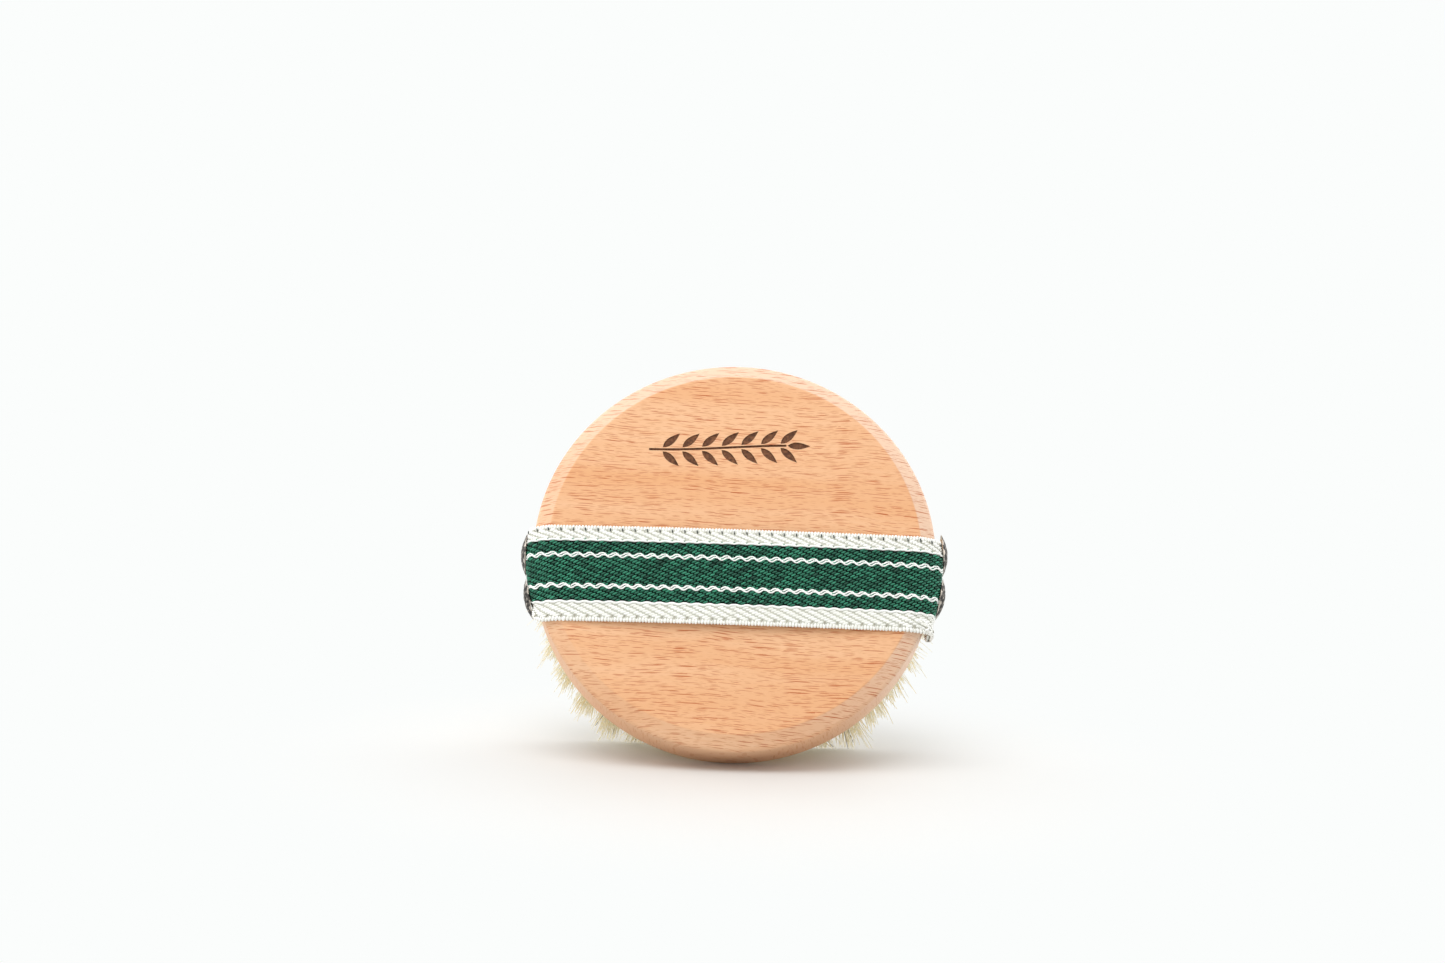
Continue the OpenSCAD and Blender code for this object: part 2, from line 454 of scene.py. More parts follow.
@dataclass(frozen=True)
class BeechFinish:
    """Sanded and oiled beech, with its grain along the strap, and a pale cut tone on the chamfer and side
    wall that is partly painted sheen and bounce light.
    """

    disc: DiscFrame
    pale: Colour = (0.83, 0.52, 0.310)
    rosy: Colour = (0.75, 0.385, 0.185)
    fleck: Colour = (0.46, 0.092, 0.014)
    # cut: a paler tone, partly the sanded chamfer's and side wall's own, partly painted light: sheen on the
    # chamfer facing up and along the strap, floor bounce on the side wall
    cut: Colour = (0.80, 0.60, 0.46)
    slope: float = math.radians(-1.2)
    layers: tuple[PoreLayer, ...] = (
        PoreLayer((9.5, 0.95, 4.0), (4.2, 0.15, 3.6), 1.0),
        PoreLayer((5.4, 0.70, 3.0), (2.3, 0.12, 2.6), 0.95),
        PoreLayer((3.0, 0.42, 2.0), (1.3, 0.08, 1.7), 0.65),
    )

    def pores(self, graph: Graph, where: object, layer: PoreLayer) -> bpy.types.NodeSocket:
        """Draws one layer of dashes.

        Args:
            graph: the material's graph.
            where: the place in the disc's frame, in metres.
            layer: the dashes' sizes.

        Returns:
            How much of a dash there is, from 0 to the layer's strength.
        """
        place = graph.vector("DIVIDE", where, tuple(c * MM for c in layer.cell))
        cells = graph.add("ShaderNodeTexVoronoi", {"Vector": place, "Scale": 1.0, "Randomness": 1.0})
        away = graph.vector("SUBTRACT", place, cells.outputs["Position"])
        reach = tuple(c / d for c, d in zip(layer.cell, layer.dash))
        shares = graph.parts(cells.outputs["Color"])
        ratio = graph.measure("LENGTH", graph.vector("MULTIPLY", away, reach))
        size = graph.span(shares[0], 0.0, 1.0, 0.45, 1.0)
        inside = graph.span(graph.math("DIVIDE", ratio, size), 0.6, 1.0, 1.0, 0.0, smooth=True)
        depth = graph.span(shares[1], 0.0, 1.0, layer.strength * 0.5, layer.strength)
        return graph.math("MULTIPLY", inside, depth)

    def build(self) -> bpy.types.Material:
        """Returns the material."""
        material, graph, shader = new_material("beech")
        coordinates = graph.add("ShaderNodeTexCoord").outputs
        turn = (self.disc.lean, 0.0, 0.0)
        local = graph.add("ShaderNodeMapping", {0: coordinates["Object"], 1: self.disc.middle, 2: turn},
                          vector_type="TEXTURE").outputs[0]
        sloped = graph.add("ShaderNodeMapping", {0: local, 2: (0.0, 0.0, self.slope)},
                           vector_type="TEXTURE").outputs[0]
        waver = graph.math("MULTIPLY", graph.math("SUBTRACT", noise(graph, sloped, 24.0), 0.5), 0.005)
        where = graph.vector("ADD", sloped, graph.joined(0.0, waver, 0.0))

        bands = noise(graph, graph.vector("MULTIPLY", where, (6.0, 85.0, 60.0)), 1.0, 3.0)
        fibres = noise(graph, graph.vector("MULTIPLY", where, (75.0, 2300.0, 2300.0)), 1.0, 3.0, 0.6)
        tone = blend_colours(graph, graph.span(bands, 0.3, 0.7), self.pale, self.rosy)
        tone = blend_colours(graph, graph.span(fibres, 0.35, 0.7, 0.0, 0.45), tone, self.rosy)
        dashes = [self.pores(graph, where, layer) for layer in self.layers]
        darkest = graph.math("MAXIMUM", graph.math("MAXIMUM", dashes[0], dashes[1]), dashes[2])
        facing = graph.measure("DOT_PRODUCT", coordinates["Normal"], self.disc.out)
        # Painted sheen: the chamfer takes more of the cut tone where it faces up and along the strap, as if
        # lit from above; the side wall's small share is partly painted bounce light
        painted_sheen_way = tuple(self.disc.up * 0.8 + self.disc.along * 0.6)
        painted_sheen_facing = graph.measure("DOT_PRODUCT", coordinates["Normal"], painted_sheen_way)
        slanted = graph.span(graph.math("ABSOLUTE", facing), 0.89, 0.97, 1.0, 0.0)
        share = graph.span(painted_sheen_facing, -0.40, 0.20, 0.12, 0.70)
        side = graph.span(graph.math("ABSOLUTE", facing), 0.1, 0.8, 0.08, 0.0)
        cut = graph.math("ADD", graph.math("MULTIPLY", slanted, share), side)
        # Blends in the cut tone, which is partly the wood's own and partly painted sheen and bounce light
        tone = blend_colours(graph, cut, tone, self.cut)
        kept = graph.span(graph.math("ABSOLUTE", facing), 0.05, 0.5, 0.25, 1.0)
        tone = blend_colours(graph, graph.math("MULTIPLY", darkest, kept), tone, self.fleck)

        rough = graph.span(fibres, 0.2, 0.8, 0.46, 0.6)
        rougher = graph.math("ADD", rough, graph.math("MULTIPLY", darkest, 0.15))
        height = graph.math("SUBTRACT", graph.math("MULTIPLY", fibres, 0.35), darkest)
        graph.fill(shader, {"Base Color": tone, "Roughness": rougher, "Specular IOR Level": 0.3,
                            "Normal": graph.bump(height, 0.25, 0.00008)})
        return material


@dataclass(frozen=True)
class ScorchFinish:
    """Wood burnt dark at the bottom of a branded mark."""

    deep: Colour = (0.085, 0.030, 0.012)
    edge: Colour = (0.22, 0.085, 0.034)

    def build(self) -> bpy.types.Material:
        """Returns the material."""
        material, graph, shader = new_material("scorched_beech")
        coordinates = graph.add("ShaderNodeTexCoord").outputs["Object"]
        patches = noise(graph, coordinates, 1400.0, 3.0)
        colour = blend_colours(graph, graph.span(patches, 0.35, 0.7), self.deep, self.edge)
        graph.fill(shader, {"Base Color": colour, "Roughness": 0.85,
                            "Normal": graph.bump(patches, 0.4, 0.0001)})
        return material


@dataclass(frozen=True)
class YarnFinish:
    """Spun yarn: a colour that varies from float to float, with fine twisted fibres."""

    name: str
    light: Colour
    dark: Colour
    sheen: float = 0.25
    roughness: float = 0.7

    def build(self) -> bpy.types.Material:
        """Returns the material."""
        material, graph, shader = new_material(self.name)
        tone = graph.add("ShaderNodeAttribute", attribute_name="tone").outputs["Fac"]
        coordinates = graph.add("ShaderNodeTexCoord").outputs["Object"]
        fibres = noise(graph, graph.vector("MULTIPLY", coordinates, (3200.0, 6500.0, 6500.0)), 1.0, 2.0)
        patches = noise(graph, coordinates, 180.0, 2.0)
        mixed = graph.math("ADD", graph.math("MULTIPLY", tone, 0.6),
                           graph.math("MULTIPLY", patches, 0.4))
        colour = blend_colours(graph, graph.span(mixed, 0.15, 0.85), self.dark, self.light)
        colour = blend_colours(graph, graph.span(fibres, 0.35, 0.7, 0.35, 0.0), colour, self.dark)
        graph.fill(shader, {"Base Color": colour, "Roughness": self.roughness,
                            "Sheen Weight": self.sheen, "Sheen Roughness": 0.4,
                            "Normal": graph.bump(fibres, 0.35, 0.00006)})
        return material


@dataclass(frozen=True)
class GapShadeGroundFinish:
    """The webbing under its floats, seen in the gaps between them: near-black green between greyed ivory
    edges, as painted shade in those gaps, with picks across it.
    """

    # Both colours are painted shade: the green is near black and the ivory greyer than its yarn, for the
    # shade in the gaps between floats
    green: Colour = (0.0008, 0.009, 0.005)
    ivory: Colour = (0.60, 0.60, 0.52)
    green_from: float = 0.168
    green_to: float = 0.790
    picks: int = 190

    def build(self) -> bpy.types.Material:
        """Returns the material, which reads the strap's own UV map."""
        material, graph, shader = new_material("webbing_ground_gap_shade")
        place = graph.parts(graph.add("ShaderNodeUVMap", uv_map="UVMap").outputs[0])
        after = graph.span(place[1], self.green_from - 0.004, self.green_from + 0.004)
        before = graph.span(place[1], self.green_to - 0.004, self.green_to + 0.004, 1.0, 0.0)
        inside = graph.math("MULTIPLY", after, before)
        colour = blend_colours(graph, inside, self.ivory, self.green)
        pick = graph.math("SINE", graph.math("MULTIPLY", place[0], self.picks * math.tau))
        graph.fill(shader, {"Base Color": colour, "Roughness": 0.9, "Specular IOR Level": 0.15,
                            "Normal": graph.bump(pick, 0.6, 0.0001)})
        return material


@dataclass(frozen=True)
class HairFinish:
    """Natural hair: cream and a little see-through, with a few brown hairs, painted shade towards the roots
    and a faint painted glow.
    """

    cream: Colour = (0.97, 0.94, 0.81)
    straw: Colour = (0.92, 0.82, 0.56)
    brown: Colour = (0.07, 0.045, 0.03)
    # Colour towards the roots: painted shade where the hairs crowd under the wood
    painted_root_shade: Colour = (0.84, 0.72, 0.46)
    brown_share: float = 0.010
    glow: float = 0.5
    # Emission strength: a painted glow that stands in for light scattered through the hairs; the hair is no
    # lamp
    painted_glow: float = 0.16

    def build(self) -> bpy.types.Material:
        """Returns the material, which reads each hair's tone and reach."""
        material, graph, shader = new_material("bristle_hair")
        tone = graph.add("ShaderNodeAttribute", attribute_name="tone").outputs["Fac"]
        reach = graph.add("ShaderNodeAttribute", attribute_name="reach").outputs["Fac"]
        hair = blend_colours(graph, graph.span(tone, 0.3, 1.0), self.cream, self.straw)
        # Painted shade: each hair turns darker towards its root
        hair = blend_colours(graph, graph.span(reach, 0.1, 0.8, 0.6, 0.0), hair, self.painted_root_shade)
        brown = graph.math("LESS_THAN", tone, self.brown_share)
        colour = blend_colours(graph, brown, hair, self.brown)
        # The emission here is a painted glow
        graph.fill(shader, {"Base Color": colour, "Roughness": 0.5, "Specular IOR Level": 0.3,
                            "Emission Color": colour, "Emission Strength": self.painted_glow})
        through = graph.add("ShaderNodeBsdfTranslucent", {"Color": colour})
        both = graph.add("ShaderNodeMixShader", {0: self.glow, 1: shader.outputs[0], 2: through.outputs[0]})
        graph.feed(material.node_tree.nodes["Material Output"].inputs[0], both.outputs[0])
        return material


@dataclass(frozen=True)
class BronzeFinish:
    """Antique bronze: bright on the high points, nearly black in the hammer marks."""

    bright: Colour = (0.50, 0.44, 0.37)
    aged: Colour = (0.018, 0.015, 0.014)

    def build(self) -> bpy.types.Material:
        """Returns the material, which reads how deep each hammer mark is."""
        material, graph, shader = new_material("antique_bronze")
        depth = graph.add("ShaderNodeAttribute", attribute_name="dimple").outputs["Fac"]
        coordinates = graph.add("ShaderNodeTexCoord").outputs["Object"]
        stains = noise(graph, coordinates, 1500.0, 3.0, 0.6)
        aged = graph.math("ADD", graph.span(depth, 0.08, 0.42), graph.span(stains, 0.4, 0.7, -0.25, 0.5))
        held = graph.math("MINIMUM", graph.math("MAXIMUM", aged, 0.0), 1.0)
        graph.fill(shader, {"Base Color": blend_colours(graph, held, self.bright, self.aged),
                            "Roughness": graph.span(held, 0.0, 1.0, 0.26, 0.55), "Metallic": 1.0})
        return material


@dataclass(frozen=True)
class WireFinish:
    """Plain drawn steel wire."""

    colour: Colour = (0.55, 0.54, 0.51)

    def build(self) -> bpy.types.Material:
        """Returns the material."""
        material, graph, shader = new_material("steel_wire")
        coordinates = graph.add("ShaderNodeTexCoord").outputs["Object"]
        scratches = noise(graph, graph.vector("MULTIPLY", coordinates, (900.0, 4000.0, 4000.0)), 1.0)
        worn = blend_colours(graph, graph.span(scratches, 0.3, 0.7), self.colour, (0.33, 0.32, 0.30))
        rough = graph.span(scratches, 0.2, 0.8, 0.28, 0.5)
        graph.fill(shader, {"Base Color": worn, "Roughness": rough, "Metallic": 1.0})
        return material


# ---------------------------------------------------------------- wooden body


@dataclass
class WoodenBody:
    """The beech disc, with a sprig of leaves burnt into its strap face. Sizes are in mm."""

    disc: DiscFrame
    mark_x: float = -2.3
    mark_up: float = 28.2
    mark_length: float = 41.0
    leaf_pairs: int = 7
    leaf_length: float = 5.8
    leaf_width: float = 1.9
    stem_width: float = 0.6
    burn_depth: float = 0.3

    def leaf_outline(self) -> list[Vector]:
        """Returns the outline of a pointed leaf that starts at the origin, along +X."""
        steps = 8
        upper = [Vector((self.leaf_length * i / steps,
                         self.leaf_width / 2 * math.sin(math.pi * (i / steps) ** 0.8)))
                 for i in range(steps + 1)]
        lower = [Vector((p.x, -p.y)) for p in reversed(upper[1:-1])]
        return upper + lower

    def outlines(self) -> list[list[Vector]]:
        """Returns the sprig's outlines: a bowed stem, pairs of leaves, and one at its tip."""
        half = self.mark_length / 2

        def bow(x: float) -> float:
            """Returns the height of the stem at x."""
            return 1.1 * math.sin(math.pi * x / self.mark_length)

        shapes = []
        steps = 24
        line = [-half + (self.mark_length - self.leaf_length) * i / steps for i in range(steps + 1)]
        thin = self.stem_width / 2
        shapes.append([Vector((x, bow(x) - thin)) for x in line]
                      + [Vector((x, bow(x) + thin)) for x in reversed(line)])
        leaf = self.leaf_outline()
        for pair in range(self.leaf_pairs):
            x = -half + (self.mark_length - self.leaf_length) * (pair + 0.7) / self.leaf_pairs
            for side in (-1, 1):
                start = Vector((x, bow(x) + side * (thin + 0.25)))
                turn = Matrix.Rotation(side * math.radians(42), 2)
                shapes.append([start + turn @ p for p in leaf])
        tip = Vector((line[-1] + 0.3, bow(line[-1])))
        shapes.append([tip + p for p in leaf])
        return shapes

    def cutter(self, finish: bpy.types.Material, index: int) -> bpy.types.Object:
        """Builds the shapes that the mark is burnt out with.

        Args:
            finish: the scorched material.
            index: the slot that the material has on the disc.

        Returns:
            An object with one prism for each outline.
        """
        shape = bmesh.new()
        for outline in self.outlines():
            ring = [shape.verts.new((p.x + self.mark_x, p.y + self.mark_up,
                                     self.disc.thickness - self.burn_depth)) for p in outline]
            face = shape.faces.new(ring)
            pulled = bmesh.ops.extrude_face_region(shape, geom=[face])["geom"]
            tops = [g for g in pulled if isinstance(g, bmesh.types.BMVert)]
            bmesh.ops.translate(shape, verts=tops, vec=(0.0, 0.0, 1.0))
        bmesh.ops.recalc_face_normals(shape, faces=shape.faces)
        for face in shape.faces:
            face.material_index = index
        mesh = bpy.data.meshes.new("mark_cutter")
        shape.to_mesh(mesh)
        shape.free()
        mesh.materials.append(finish)
        mesh.materials.append(finish)
        return link(bpy.data.objects.new("mark_cutter", mesh))

    def build(self, beech: bpy.types.Material, scorch: bpy.types.Material) -> bpy.types.Object:
        """Builds the disc from a merged copy of its CAD node.

        Args:
            beech: the wood's material.
            scorch: the mark's material.

        Returns:
            The finished piece.
        """
        shape = bmesh.new()
        shape.from_mesh(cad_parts["wooden_body"].data)
        shape.transform(self.disc.matrix().inverted())
        bmesh.ops.remove_doubles(shape, verts=shape.verts, dist=0.002)
        bmesh.ops.dissolve_limit(shape, angle_limit=0.002, verts=shape.verts, edges=shape.edges)
        mesh = bpy.data.meshes.new("beech_disc")
        shape.to_mesh(mesh)
        shape.free()
        mesh.materials.clear()
        mesh.materials.append(beech)
        mesh.materials.append(scorch)
        mesh.polygons.foreach_set("material_index", [0] * len(mesh.polygons))
        holder = link(bpy.data.objects.new("beech_disc_solid", mesh))
        cutter = self.cutter(scorch, 1)
        cut = holder.modifiers.new("mark", "BOOLEAN")
        cut.operation = "DIFFERENCE"
        cut.solver = "EXACT"
        cut.material_mode = "INDEX"
        cut.object = cutter
        piece = baked(holder, "beech_disc")
        bpy.data.objects.remove(cutter)
        self.smooth(piece)
        return show(self.disc.settle(piece), "beech", "wooden_body")

    def smooth(self, piece: bpy.types.Object) -> None:
        """Shades the rounded edges smoothly and keeps the flat faces flat."""
        mesh = piece.data
        mesh.shade_smooth()
        mesh.set_sharp_from_angle(angle=math.radians(32))
        modifier = piece.modifiers.new("weights", "WEIGHTED_NORMAL")
        modifier.keep_sharp = True
        modifier.weight = 100
        bpy.context.view_layer.update()
        shown = piece.evaluated_get(bpy.context.evaluated_depsgraph_get())
        weighted = bpy.data.meshes.new_from_object(shown)
        piece.modifiers.clear()
        piece.data = weighted
        weighted.name = "beech_disc"


# ---------------------------------------------------------------- bristles


def tuft_pattern(out: Vector, up: Vector) -> Pattern:
    """Makes the tree that grows hairs from each tuft's root to its tip.

    Args:
        out: the way out of the strap face, which is into the wood for a tuft.
        up: the way up the disc.

    Returns:
        The pattern. Its base mesh has a vertex at each tuft's mouth and a vector attribute
        named tip. Lengths are in metres.
    """
    tree = Pattern("grow_tufts", {
        "Hairs": "Int", "Rings": "Int", "Sides": "Int", "Root Radius": "Float",
        "Tip Radius": "Float", "Hair Radius": "Float", "Depth": "Float", "Wave": "Float",
        "Material": "Material"})
    given = tree.given
    grown = tree.add("GeometryNodeDuplicateElements",
                     {"Geometry": given["Geometry"], "Amount": given["Hairs"]}, domain="POINT")
    points = grown.outputs[0]

    turn = tree.random(0.0, math.tau, 1)
    spread = tree.math("SQRT", tree.random(0.0, 1.0, 2))
    aside = tree.math("MULTIPLY", tree.math("COSINE", turn), spread)
    above = tree.math("MULTIPLY", tree.math("SINE", turn), spread)
    across = tree.joined(aside, tree.math("MULTIPLY", above, up.y), tree.math("MULTIPLY", above, up.z))
    mouth = tree.total(tree.add("GeometryNodeInputPosition").outputs[0],
                       tree.scaled(across, given["Root Radius"]))
    stray = tree.math("POWER", tree.random(0.0, 1.0, 3), 5.0)
    reach_out = tree.math("MULTIPLY", given["Tip Radius"],
                          tree.math("ADD", 0.8, tree.math("MULTIPLY", stray, 0.9)))
    jitter = tree.joined(tree.random(-1.0, 1.0, 4), tree.random(-1.0, 1.0, 5), tree.random(-1.0, 1.0, 6))
    way_down = tree.vector("SUBTRACT", tree.named("tip", "FLOAT_VECTOR"), mouth)
    longer = tree.math("ADD", 1.0, tree.random(-0.09, 0.04, 7))
    tip = tree.total(mouth, tree.scaled(way_down, longer), tree.scaled(across, reach_out),
                     tree.scaled(jitter, tree.math("MULTIPLY", given["Wave"], 0.6)))
    bend = tree.scaled(tree.joined(tree.random(-1.0, 1.0, 8), tree.random(-1.0, 1.0, 9),
                                   tree.random(-1.0, 1.0, 10)), given["Wave"])
    points = tree.store(points, "mouth", mouth, "FLOAT_VECTOR")
    points = tree.store(points, "end", tip, "FLOAT_VECTOR")
    points = tree.store(points, "bend", bend, "FLOAT_VECTOR")
    points = tree.store(points, "tone", tree.random(0.0, 1.0, 11))

    line = tree.add("GeometryNodeCurvePrimitiveLine", {"Start": (0, 0, 0), "End": (0, 0, 1)})
    line = tree.add("GeometryNodeResampleCurve", {"Curve": line.outputs[0], "Count": given["Rings"]})
    circle = tree.add("GeometryNodeCurvePrimitiveCircle", {"Resolution": given["Sides"], "Radius": 1.0})
    stalk = tree.add("GeometryNodeCurveToMesh", {"Curve": line.outputs[0],
                                                 "Profile Curve": circle.outputs[0],
                                                 "Fill Caps": True}).outputs[0]
    stalk = tree.store(stalk, "stalk", tree.add("GeometryNodeInputPosition").outputs[0], "FLOAT_VECTOR")
    placed = tree.add("GeometryNodeInstanceOnPoints", {"Points": points, "Instance": stalk})
    hairs = tree.add("GeometryNodeRealizeInstances", {0: placed.outputs[0]}).outputs[0]

    stalk_x, stalk_y, stalk_z = tree.parts(tree.named("stalk", "FLOAT_VECTOR"))
    first = tree.math("DIVIDE", 1.0, tree.math("SUBTRACT", given["Rings"], 1.0))
    inside = tree.math("MAXIMUM", tree.math("SUBTRACT", 1.0, tree.math("DIVIDE", stalk_z, first)), 0.0)
    past = tree.math("DIVIDE", tree.math("SUBTRACT", stalk_z, first), tree.math("SUBTRACT", 1.0, first))
    reach = tree.math("MAXIMUM", past, 0.0)
    way = tree.vector("SUBTRACT", tree.named("end", "FLOAT_VECTOR"), tree.named("mouth", "FLOAT_VECTOR"))
    arc = tree.math("MULTIPLY", tree.math("MULTIPLY", reach, tree.math("SUBTRACT", 1.0, reach)), 4.0)
    centre = tree.total(tree.named("mouth", "FLOAT_VECTOR"),
                        tree.scaled(tuple(out), tree.math("MULTIPLY", inside, given["Depth"])),
                        tree.scaled(way, reach),
                        tree.scaled(tree.named("bend", "FLOAT_VECTOR"), arc))
    x, y, z = tree.parts(centre)
    low = given["Hair Radius"]
    floor_z = tree.math("SMOOTH_MAX", z, low, 0.0012)
    pressed = tree.math("MAXIMUM", tree.math("SUBTRACT", low, z), 0.0)
    sideways = tree.math("MULTIPLY", tree.math("SIGN", x), tree.math("MULTIPLY", pressed, 0.35))
    backwards = tree.math("MULTIPLY", pressed, 0.6)
    pushed = tree.joined(tree.math("ADD", x, sideways), tree.math("ADD", y, backwards), floor_z)
    thick = tree.math("MULTIPLY", given["Hair Radius"],
                      tree.math("SUBTRACT", 1.0, tree.math("MULTIPLY", reach, 0.45)))
    ring = tree.joined(stalk_x, tree.math("MULTIPLY", stalk_y, up.y), tree.math("MULTIPLY", stalk_y, up.z))
    hairs = tree.store(hairs, "reach", reach)
    moved = tree.add("GeometryNodeSetPosition",
                     {"Geometry": hairs, "Position": tree.total(pushed, tree.scaled(ring, thick))})
    return tree.end(moved.outputs[0])


@dataclass
class BristleField:
    """All tufts of the brush, one piece for each ring. Sizes are in mm."""

    disc: DiscFrame
    hairs: int = 200
    rings: int = 5
    sides: int = 3
    root_radius: float = 1.25
    tip_radius: float = 4.6
    hair_radius: float = 0.12
    depth: float = 4.5
    wave: float = 0.7
    names: list[str] = field(default_factory=lambda: sorted(
        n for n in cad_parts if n.startswith("bristle_tuft")))

    def tufts(self, node: str) -> list[tuple[Vector, Vector]]:
        """Finds each tuft of a CAD node.

        Args:
            node: the CAD node's name.

        Returns:
            The mouth and the tip of each tuft, in the brush's frame, in metres.
        """
        shape = bmesh.new()
        shape.from_mesh(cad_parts[node].data)
        bmesh.ops.remove_doubles(shape, verts=shape.verts, dist=0.002 * MM)
        left, found = set(shape.verts), []
        while left:
            island, edge = set(), {left.pop()}
            while edge:
                island |= edge
                edge = {e.other_vert(v) for v in edge for e in v.link_edges} - island
            left -= island
            points = self.disc.local(np.array([v.co for v in island]))
            root = points[points[:, 2] > 1.0].mean(0)
            tip = points[points[:, 2] < points[:, 2].min() + 0.6].mean(0)
            place = self.disc.matrix()
            found.append((place @ Vector((root[0], root[1], 0.0)), place @ Vector(tip)))
        shape.free()
        return sorted(found, key=lambda pair: tuple(pair[0]))

    def build(self, hair: bpy.types.Material) -> list[bpy.types.Object]:
        """Grows every ring.

        Args:
            hair: the hair's material.

        Returns:
            The pieces.
        """
        pattern = tuft_pattern(self.disc.out, self.disc.up)
        pieces = []
        for node in self.names:
            tufts = self.tufts(node)
            base = bpy.data.meshes.new(node + "_roots")
            base.from_pydata([mouth for mouth, tip in tufts], [], [])
            tips = base.attributes.new("tip", "FLOAT_VECTOR", "POINT")
            tips.data.foreach_set("vector", [c for mouth, tip in tufts for c in tip])
            piece = pattern.make(node.replace("bristle_tuft", "hair_tuft"), base, {
                "Hairs": self.hairs, "Rings": self.rings, "Sides": self.sides,
                "Root Radius": self.root_radius * MM, "Tip Radius": self.tip_radius * MM,
                "Hair Radius": self.hair_radius * MM, "Depth": self.depth * MM,
                "Wave": self.wave * MM, "Material": hair})
            piece.data.shade_smooth()
            pieces.append(show(piece, "bristle", node))
        return pieces


# ---------------------------------------------------------------- hand strap


